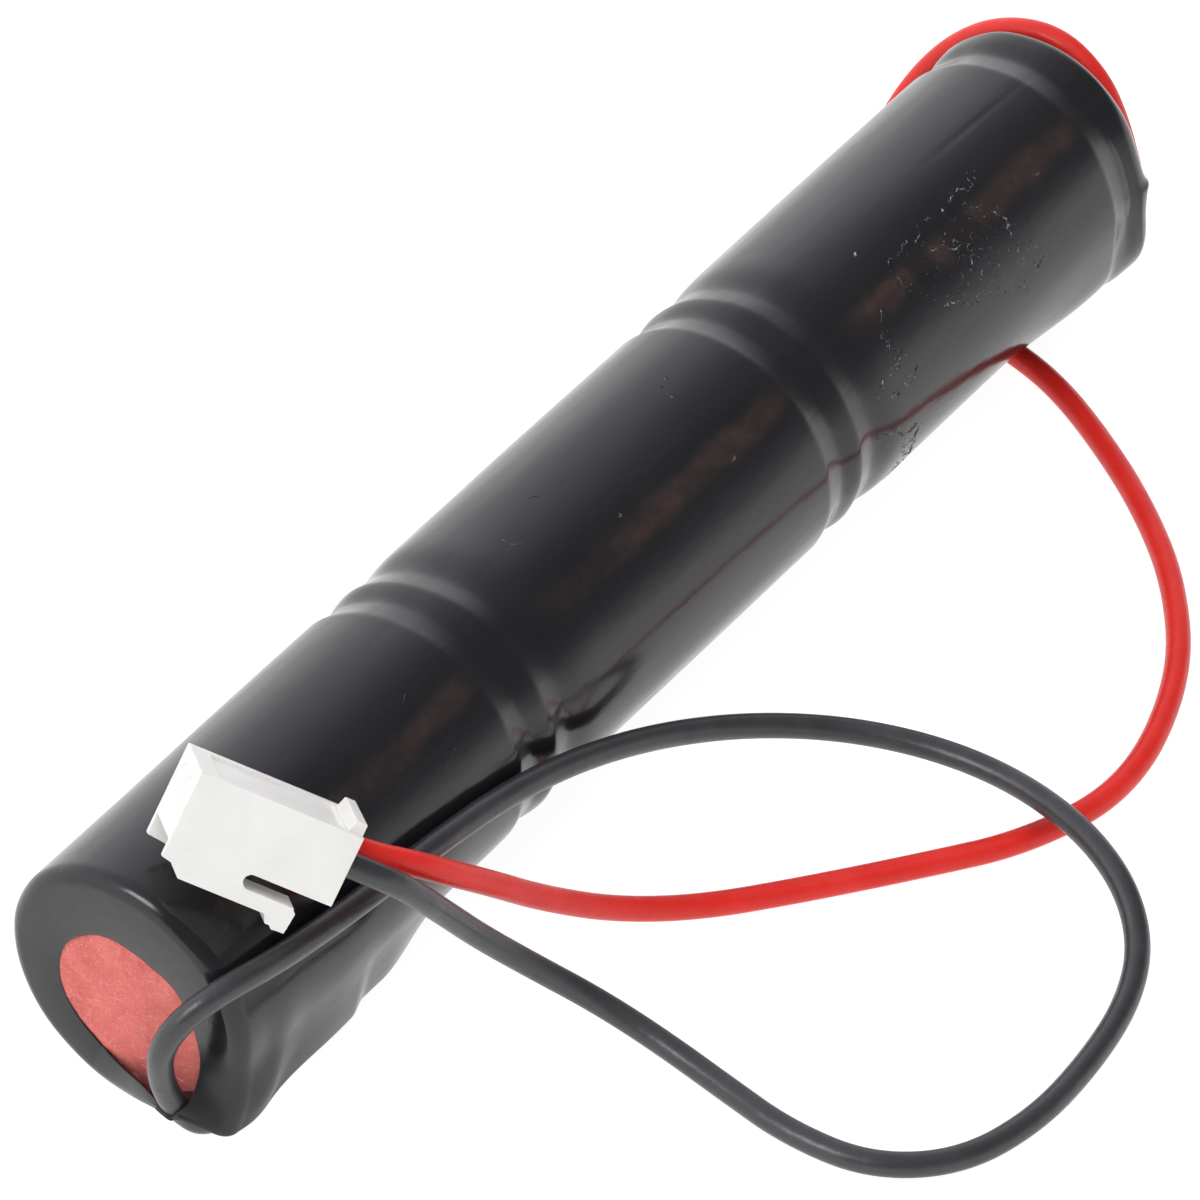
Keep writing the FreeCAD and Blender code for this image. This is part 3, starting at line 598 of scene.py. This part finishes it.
def barrel_rise(x, angle):
    """How far the film stands off its plain cylinder."""
    turn = np.radians(angle)
    spot = np.stack([x, SLEEVE_RADIUS * np.cos(turn), SLEEVE_RADIUS * np.sin(turn)], -1)
    # waists, less deep where the red lead fills them
    filled = 1 - bell(turned(angle, 232.0), 0, 30.0) * fade(x, 150.0, 172.0)
    rise = groove_profile(x) * (1 + 0.16 * waves(spot, 17.0, 3)) * filled
    lowest = 1.25 * rise - 0.26
    # soft waves along the barrel and finer ones near the joints
    rise += 0.07 * waves(spot * (0.2, 1, 1), 8.0, 5)
    near_joint = sum(bell(x, base + JOINT_MIDDLE, 8.0) for base in BASES[1:])
    rise += 0.06 * near_joint * waves(spot * (1, 0.7, 0.7), 6.5, 8)
    # wrinkles and folds on the near end's side, and one crease on the third cell
    wrinkled = bell(turned(angle, 205.0), 0, 30.0) * (1 - fade(x, 24.0, 60.0))
    rise += 0.12 * wrinkled * waves(spot * (1.0, 0.4, 0.4), 11.0, 12)
    lean = 0.15 * (x - PROP_PLACE)
    crease = bell(turned(angle, CREASE_ANGLE + lean), 0, 1.7) * bell(x, 166.0, 9.0)
    rise -= 0.06 * crease
    hem = bell(turned(angle, 200.0), 0, 22.0)
    rise += hem * (-0.22 * bell(x, 4.8, 1.7) + 0.12 * bell(x, 7.8, 2.0) - 0.14 * bell(x, 11.5, 2.4))
    rise += 1.6 * bell(x, 4.6, 3.1) * bell(turned(angle, 211.0), 0, 15.0)
    far_hem = bell(turned(angle, 200.0), 0, 40.0) * fade(x, 172.0, 183.0)
    rise += 0.2 * far_hem * waves(spot * (0.6, 1, 1), 9.0, 21)
    rise = np.maximum(rise, lowest)
    # raised tracks over both leads, and the far end's loose side
    height = 3.35 - 0.75 * fade(x, 23.0, 26.0) - 2.6 * fade(x, 29.5, 44.0) + 0.001
    rise += tent(turned(angle, TAIL_ANGLE), height)
    far_height = 2.6 * fade(x, 150.0, 168.0) + 0.001
    over_lead = tent(turned(angle, FAR_TAIL_ANGLE), far_height)
    swollen = 1.35 * fade(x, 154.0, 176.0) + 0.8 * fade(x, 176.0, 180.0)
    swollen = bell(turned(angle, FLANK_ANGLE), 0, 19.0) * swollen
    return rise + np.hypot(over_lead, swollen)


def make_rows(angles):
    """Rows of (x, distance from the axis) for every angle, from one opening's edge to the other."""
    rows = []
    edge = opening_radius(angles)
    near_rim = SLEEVE_RADIUS + barrel_rise(np.full_like(angles, FILM_RIM), angles)
    near_inner = np.maximum(near_rim - FILM_RIM, edge + 0.2)
    far_bend = FILM_RIM + 1.7 * bell(turned(angles, 165.0), 0, 42.0)      # rounder on this side
    far_rim = SLEEVE_RADIUS + barrel_rise(SLEEVE_LENGTH - far_bend, angles)
    far_inner = np.maximum(far_rim - far_bend, edge + 0.2)
    for share in np.linspace(0, 1, 34)[:-1]:
        rows.append((0.35 * (1 - share) ** 2 * np.ones_like(angles), edge + (near_inner - edge) * share))
    for turn in np.linspace(0, math.pi / 2, 14)[:-1]:
        rows.append((np.full_like(angles, FILM_RIM - FILM_RIM * math.cos(turn)),
                     near_inner + (near_rim - near_inner) * math.sin(turn)))
    for place in np.arange(FILM_RIM, SLEEVE_LENGTH - FILM_RIM, BARREL_STEP):
        x = place - (far_bend - FILM_RIM) * fade(place, 150.0, SLEEVE_LENGTH - FILM_RIM)
        rows.append((x, SLEEVE_RADIUS + barrel_rise(x, angles)))
    off_tab = turned(angles, TAB_ANGLE)
    tab_outline = 0.6 * np.exp(-np.abs(off_tab) / np.where(off_tab < 0, 2.6, 8.0))
    for turn in np.linspace(math.pi / 2, 0, 18):
        tab = tab_outline * bell(turn, 1.0, 0.6)
        rows.append((SLEEVE_LENGTH - far_bend + (far_bend + tab) * math.cos(turn),
                     far_inner + (far_rim - far_inner + tab) * math.sin(turn)))
    for share in np.linspace(0, 1, 22)[1:]:
        rows.append((np.full_like(angles, SLEEVE_LENGTH), far_inner + (edge - far_inner) * share))
    return rows


def lift_over_lead(points):
    """Moves the near end's film up and out until it clears the lead that bends out under it."""
    way = np.array((-0.6, -0.45, 0.66))
    path = from_row(np.array(LEAD_UNDER))
    dense = np.concatenate([np.linspace(a, b, 24) for a, b in zip(path, path[1:])])
    room = LEAD_RADIUS + SLEEVE_WALL + 0.35
    offset = dense[None, None] - points[:, :, None]
    ahead = offset @ way
    aside = np.linalg.norm(offset - ahead[..., None] * way, axis=-1)
    needed = np.where(aside < room, ahead + np.sqrt(np.maximum(room ** 2 - aside ** 2, 0)), 0).max(-1)
    needed = np.maximum(needed, 0)
    angle = np.degrees(np.arctan2(points[..., 2] - SLEEVE_RADIUS, points[..., 1])) % 360
    free = (angle > 170) & (angle < 290)
    needed = needed * (1 - fade(angle, TIP_ANGLE, TIP_ANGLE + 12.0))
    moved = np.where(free, needed, 0)
    for step in range(RELAXING):
        around = np.roll(moved, 1, 1) + np.roll(moved, -1, 1)
        up = np.vstack([moved[:1], moved[:-1]])
        down = np.vstack([moved[1:], moved[-1:]])
        moved = (around + up + down) / 4
        if step < HOLDING:
            moved = np.maximum(needed, moved)
        moved = np.where(free, moved, 0)
    return points + moved[..., None] * way


def make_sleeve():
    """The film as one closed mesh: its outside, its inside a wall's thickness in, and both holes' edges."""
    angles = np.arange(COLUMNS) * 360.0 / COLUMNS
    rows = make_rows(angles)
    x = np.array([row[0] for row in rows])
    reach = np.array([row[1] for row in rows])
    turn = np.radians(angles)[None]
    points = np.stack([x, reach * np.cos(turn), SLEEVE_RADIUS + reach * np.sin(turn)], -1)
    points[:LIFTED_ROWS] = lift_over_lead(points[:LIFTED_ROWS])
    outer = points.reshape(-1, 3)
    count = len(rows)
    across = np.roll(points, -1, 1) - np.roll(points, 1, 1)
    ahead = np.gradient(points, axis=0)
    normal = np.cross(across, ahead)
    normal /= np.maximum(np.linalg.norm(normal, axis=-1), 1e-9)[..., None]
    middle_row = count // 2
    outward = (points[middle_row] - (0, 0, SLEEVE_RADIUS)) * (0, 1, 1)
    if (normal[middle_row] * outward).sum() < 0:
        normal = -normal
    # the inside has fewer rows along the plain barrel
    kept = [i for i in range(count) if i < 60 or i > count - 30 or i % 8 == 0]
    inner = (points - normal * SLEEVE_WALL)[kept].reshape(-1, 3)
    faces = []

    def quads(first, second, flip):
        for j in range(COLUMNS):
            k = (j + 1) % COLUMNS
            quad = (first + j, first + k, second + k, second + j)
            faces.append(quad[::-1] if flip else quad)

    for i in range(count - 1):
        quads(i * COLUMNS, (i + 1) * COLUMNS, True)
    start = count * COLUMNS
    for i in range(len(kept) - 1):
        quads(start + i * COLUMNS, start + (i + 1) * COLUMNS, False)
    quads(0, start, False)
    quads((count - 1) * COLUMNS, start + (len(kept) - 1) * COLUMNS, True)
    vertices = to_row(np.concatenate([outer, inner]))
    sleeve = add_piece("sleeve_film", vertices, faces, "sleeve")
    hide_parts("sleeve")


# ---- small threads: fibres in the papers, dried glue on the film ----
def thread(path, outward, half, rise):
    """A closed ridge with three sides along a path, with its own width and height at each point."""
    ahead = np.gradient(path, axis=0)
    ahead /= np.linalg.norm(ahead, axis=1)[:, None]
    side = np.cross(outward, ahead)
    side /= np.linalg.norm(side, axis=1)[:, None]
    foot = path - outward * 0.03
    ring = np.stack([foot - side * half[:, None], foot + side * half[:, None],
                     path + outward * rise[:, None]], 1)
    count = len(path)
    faces = [(0, 1, 2), (3 * count - 1, 3 * count - 2, 3 * count - 3)]
    for i in range(count - 1):
        for j in range(3):
            k = (j + 1) % 3
            faces.append((3 * i + j, 3 * i + 3 + j, 3 * i + 3 + k, 3 * i + k))
    return ring.reshape(-1, 3), faces


def gathered(threads):
    """All the threads' vertices and faces as one mesh's."""
    vertices, faces, start = [], [], 0
    for ring, sides in threads:
        vertices.append(ring)
        faces += [tuple(start + i for i in side) for side in sides]
        start += len(ring)
    return np.concatenate(vertices), faces


GLUE_LINES = [      # (along the stick, angle round it) of the dried glue's edges
    [(159.0, 114.8), (151.9, 114.7), (146.4, 112.3), (139.5, 116.6), (138.7, 127.8), (139.9, 138.2),
     (142.9, 147.3), (149.7, 156.9), (157.1, 167.8), (160.4, 157.6), (157.9, 147.5), (157.3, 133.4),
     (154.1, 117.4)],
    [(133.3, 128.3), (130.8, 140.6), (133.2, 148.2), (126.5, 155.7), (131.9, 162.5), (134.0, 154.9)],
    [(124.7, 173.9), (132.8, 185.6), (132.6, 190.9), (133.2, 212.2), (129.3, 212.2)],
    [(144.5, 118.0), (146.0, 127.0), (150.5, 134.0), (149.0, 143.0), (153.5, 150.0)],
]
GLUE_SPECKS = [(103.2, 88.7), (105.0, 86.6), (101.9, 131.8), (83.9, 117.6), (166.0, 131.0), (137.0, 104.0)]
HAIRS = [(71.0, 90.6), (78.0, 83.6), (44.6, 111.3), (44.9, 140.9), (103.0, 88.6)]


def on_film(x, angle):
    """Points on the film, and the direction out of it at each."""
    turn = np.radians(angle)
    outward = np.stack([np.zeros_like(x), np.cos(turn), np.sin(turn)], -1)
    reach = (SLEEVE_RADIUS + barrel_rise(x, angle))[..., None]
    axis = np.stack([x, np.zeros_like(x), np.full_like(x, SLEEVE_RADIUS)], -1)
    return outward * reach + axis, outward


def bowed(draw, share, length, way, most):
    """Places along and across of a short thread that starts at zero and runs one way with a bow."""
    bow = draw.uniform(-most, most) * np.sin(share * math.pi) * length
    along = length * share * math.cos(way) - bow * math.sin(way)
    across = length * share * math.sin(way) + bow * math.cos(way)
    return along, across


def make_glue():
    """Dried glue on the film: broken ridges along its edges, crumbs inside them, specks and hairs."""
    draw = np.random.default_rng(7)
    degree = math.radians(SLEEVE_RADIUS)        # a degree's length on the film
    threads = []
    for line in GLUE_LINES:
        corners = np.array(line)
        steps = np.hypot(np.diff(corners[:, 0]), np.diff(corners[:, 1]) * degree)
        at = np.concatenate([[0], np.cumsum(steps)])
        fine = np.arange(0, at[-1], 0.12)
        flat = np.stack([fine, np.zeros_like(fine), np.full_like(fine, corners[0, 0])], -1)
        x = np.interp(fine, at, corners[:, 0]) + 0.6 * waves(flat, 2.6, 51) + 0.3 * waves(flat, 0.8, 52)
        wander = 0.6 * waves(flat, 2.3, 53) + 0.3 * waves(flat, 0.7, 54)
        angle = np.interp(fine, at, corners[:, 1]) + wander / degree
        path, outward = on_film(x, angle)
        half = np.clip(0.05 + 0.07 * waves(flat, 1.2, 55), 0.012, 0.2)
        rise = np.clip(0.03 + 0.06 * waves(flat, 1.1, 56), 0.01, 0.12)
        threads.append(thread(path, outward, half, rise))
        middle_x, middle_angle = corners[:, 0].mean(), corners[:, 1].mean()
        share = np.linspace(0, 1, 6)
        taper = np.sin(np.clip(share, 0.08, 0.92) * math.pi)
        for _ in range(int(at[-1] * 4.0)):
            spot = draw.integers(0, len(fine))
            inward = draw.uniform(0, 1) ** 2.2 * 0.85
            length = 0.15 + draw.exponential(0.28)
            way = draw.uniform(0, 2 * math.pi)
            along, across = bowed(draw, share, length, way, 0.4)
            start = draw.normal(0, 0.35, 2)
            own_x = x[spot] + (middle_x - x[spot]) * inward + start[0] + along
            own_angle = angle[spot] + (middle_angle - angle[spot]) * inward + (start[1] + across) / degree
            path, outward = on_film(own_x, own_angle)
            half, rise = draw.uniform(0.015, 0.065) * taper, draw.uniform(0.02, 0.07) * taper
            threads.append(thread(path, outward, half, rise))
    for x, angle in GLUE_SPECKS:
        share = np.linspace(-1, 1, 7)
        size = draw.uniform(0.25, 0.6)
        path, outward = on_film(x + size * share, angle + draw.normal(0, 0.4, 7))
        taper = np.sqrt(np.maximum(1.03 - share ** 2, 0.05))
        threads.append(thread(path, outward, 0.13 * taper, 0.12 * taper))
    for x, angle in HAIRS:
        share = np.linspace(0, 1, 12)
        length, way = draw.uniform(1.6, 3.4), draw.uniform(0, math.pi)
        along, across = bowed(draw, share, length, way, 0.3)
        path, outward = on_film(x + along, angle + across / degree)
        threads.append(thread(path, outward, np.full(12, 0.035), np.full(12, 0.05)))
    vertices, faces = gathered(threads)
    glue = add_piece("dried_glue", to_row(vertices), faces, "sleeve", smooth=False)
    glue.data.materials.clear()
    glue.data.materials.append(residue_material())


def make_fibres(name, x, facing, seed):
    """Pale fibres that lie on a paper disc."""
    draw = np.random.default_rng(seed)
    threads = []
    for _ in range(260):
        reach, turn = 14.0 * math.sqrt(draw.uniform(0, 1)), draw.uniform(0, 2 * math.pi)
        length, way = draw.uniform(0.3, 1.5), draw.uniform(0, 2 * math.pi)
        share = np.linspace(-0.5, 0.5, 9)
        bow = draw.uniform(-0.35, 0.35) * length * (1 - 4 * share ** 2)
        y = reach * math.cos(turn) + length * share * math.cos(way) - bow * math.sin(way)
        z = reach * math.sin(turn) + length * share * math.sin(way) + bow * math.cos(way)
        path = np.stack([x + paper_warp(y, z, seed), y, z + SLEEVE_RADIUS], -1)
        outward = np.tile((facing, 0.0, 0.0), (len(share), 1))
        half = np.full(len(share), draw.uniform(0.012, 0.03))
        threads.append(thread(path, outward, half, half * 1.5))
    vertices, faces = gathered(threads)
    fibres = add_piece(name, to_row(vertices), faces, "red_paper", smooth=False)
    fibres.data.materials.clear()
    fibres.data.materials.append(fibre_material())


def paper_warp(y, z, seed):
    """How far a paper disc stands off its plane, at places from its middle."""
    flat = np.stack([np.zeros_like(y), y, z + SLEEVE_RADIUS], -1)
    return 0.08 * waves(flat, 11.0, seed) + 0.02 * waves(flat, 2.2, seed + 1)


# ---- papers ----
def make_paper(name, node, x, seed):
    """A thin card disc with a soft warp, closed all round."""
    rings, columns, thick, radius = 40, 160, 0.3, 14.75
    vertices, faces = [], []
    for side in (0, 1):
        for ring in range(rings + 1):
            for column in range(columns):
                turn = 2 * math.pi * column / columns
                reach = radius * ring / rings
                y, z = reach * math.cos(turn), SLEEVE_RADIUS + reach * math.sin(turn)
                vertices.append((x + side * thick, y, z))
    vertices = np.array(vertices)
    vertices[:, 0] += paper_warp(vertices[:, 1], vertices[:, 2] - SLEEVE_RADIUS, seed)
    span = (rings + 1) * columns
    for side in (0, 1):
        for ring in range(rings):
            for column in range(columns):
                after = (column + 1) % columns
                first = side * span + ring * columns
                quad = (first + column, first + columns + column, first + columns + after, first + after)
                quad = quad[1:] if ring == 0 else quad
                faces.append(quad if side else quad[::-1])
    rim = rings * columns
    for column in range(columns):
        after = (column + 1) % columns
        faces.append((rim + column, rim + after, span + rim + after, span + rim + column))
    paper = add_piece(name, to_row(vertices), faces, "red_paper")
    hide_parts(node)


# ---- plug ----
# In its own frame the plug runs along x from its mating face, across y, and up z from its latch side.
LATCH_WIDTH = 4.6
SLOT_RADIUS = 0.875
SLOT_END = 10.35
VOXEL = 0.075


def plug_matrix():
    along = PLUG_ALONG.normalized()
    across = PLUG_UP.cross(along).normalized()
    up = along.cross(across)
    turn = Matrix((along, across, up)).transposed().to_4x4()
    return Matrix.Translation(PLUG_CORNER * MM) @ turn


def prism(outline, across):
    """Vertices and faces of an (along, up) outline carried across the plug, in mm."""
    count = len(outline)
    vertices = [(x, across[0], z) for x, z in outline] + [(x, across[1], z) for x, z in outline]
    faces = [tuple(range(count)), tuple(range(2 * count - 1, count - 1, -1))]
    for i in range(count):
        k = (i + 1) % count
        faces.append((i, i + count, k + count, k))
    return vertices, faces


def arc(middle, radius, start, end):
    turns = np.radians(np.linspace(start, end, 14))
    return [(middle[0] + radius * math.cos(t), middle[1] + radius * math.sin(t)) for t in turns]


def block(along, across, up):
    outline = [(along[0], up[0]), (along[1], up[0]), (along[1], up[1]), (along[0], up[1])]
    return prism(outline, across)


def joined(name, shapes):
    """One mesh object of several closed shapes, in the plug's own frame, in mm."""
    vertices, faces = [], []
    for shape_vertices, shape_faces in shapes:
        start = len(vertices)
        vertices += shape_vertices
        faces += [tuple(start + i for i in face) for face in shape_faces]
    mesh = bpy.data.meshes.new(name)
    mesh.from_pydata([tuple(v) for v in vertices], [], faces)
    mesh.update()
    piece = bpy.data.objects.new(name, mesh)
    bpy.context.scene.collection.objects.link(piece)
    make_outward(mesh)
    return piece


def make_outward(mesh):
    made = bmesh.new()
    made.from_mesh(mesh)
    bmesh.ops.recalc_face_normals(made, faces=made.faces)
    made.to_mesh(mesh)
    made.free()


def moulded(name, node, extra, cuts, body):
    """A CAD node's shape with more detail, as one skin with slightly rounded edges."""
    source = frame["nodes"][node]
    mesh = source.data.copy()
    mesh.transform(Matrix.Scale(1 / MM, 4) @ plug_matrix().inverted())
    base = bpy.data.objects.new(name + "_base", mesh)
    bpy.context.scene.collection.objects.link(base)
    weld = base.modifiers.new("weld", "WELD")
    weld.merge_threshold = 0.0005
    tools = []
    for cut in cuts:
        tool = joined(name + "_cut", [cut])
        difference = base.modifiers.new("cut", "BOOLEAN")
        difference.operation = "DIFFERENCE"
        difference.object = tool
        tools.append(tool)
    bpy.context.view_layer.update()
    body_mesh = bpy.data.meshes.new_from_object(base.evaluated_get(bpy.context.evaluated_depsgraph_get()))
    shell = joined(name + "_shell", extra + [([tuple(v.co) for v in body_mesh.vertices],
                                              [tuple(p.vertices) for p in body_mesh.polygons])])
    remesh = shell.modifiers.new("skin", "REMESH")
    remesh.mode = "VOXEL"
    remesh.voxel_size = VOXEL
    ease = shell.modifiers.new("ease", "SMOOTH")
    ease.factor = 0.5
    ease.iterations = 5
    bpy.context.view_layer.update()
    skin = bpy.data.meshes.new_from_object(shell.evaluated_get(bpy.context.evaluated_depsgraph_get()))
    skin.transform(plug_matrix() @ Matrix.Scale(MM, 4))
    skin.name = name
    skin.shade_smooth()
    for helper in [base, shell] + tools:
        bpy.data.objects.remove(helper)
    piece = add_object(name, skin, "plug_plastic", body)
    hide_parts(node)
    return piece


def make_plug():
    """The housing and the latch arm, as the names of their pieces."""
    slot_end = [(8.9, 0.1), (8.9, -2 * SLOT_RADIUS - 0.1), (SLOT_END, -2 * SLOT_RADIUS - 0.1)]
    slot_end += arc((SLOT_END, -SLOT_RADIUS), SLOT_RADIUS, 270, 90) + [(SLOT_END, 0.1)]
    cheek = [(0.02, 0.6), (0.02, -1.6), (1.2, -2.0), (2.5, -3.25), (5.0, -3.45), (5.0, 0.6)]
    hook = [(13.4, -3.3), (14.6, -4.9), (16.15, -4.8), (16.4, -2.3), (15.8, -1.8), (14.0, -1.8)]
    root = block((8.3, 9.7), (0.02, LATCH_WIDTH - 0.02), (-3.55, -1.7))
    front = block((0.12, 1.0), (0.8, PLUG_WIDTH - 0.8), (0.8, PLUG_HEIGHT - 0.8))
    recess = block((2.6, PLUG_LENGTH - 2.2), (1.3, 9.7), (PLUG_HEIGHT - 0.35, PLUG_HEIGHT + 1))
    steps = [block((-0.5, 2.4), (0.7, 8.5), (-3.6, -0.02)), block((-0.5, 3.0), (8.5, 10.1), (-3.6, -0.02))]
    housing = moulded("plug_body", "plug_housing",
                      [prism(slot_end, (0, LATCH_WIDTH)), root, front, prism(cheek, (0.0, 0.75))],
                      [recess] + steps, "pack")
    latch = moulded("plug_latch_arm", "plug_latch", [prism(hook, (0.0, LATCH_WIDTH))], [], "latch")
    return [housing.name, latch.name]


make_camera()
make_stage()
paint_cad_nodes()
plug_pieces = make_plug()
for colour, route, length in (("black", BLACK_ROUTE, BLACK_LENGTH), ("red", RED_ROUTE, RED_LENGTH)):
    make_lead(colour, route)
make_sleeve()
make_glue()
make_paper("near_paper_disc", "near_end_paper", 0.5, 31)
make_paper("far_paper_disc", "far_end_paper", SLEEVE_LENGTH - 0.95, 41)
make_fibres("near_paper_fibres", 0.5, -1.0, 31)
make_fibres("far_paper_fibres", SLEEVE_LENGTH - 0.65, 1.0, 41)
bpy.context.scene.view_settings.view_transform = "Standard"
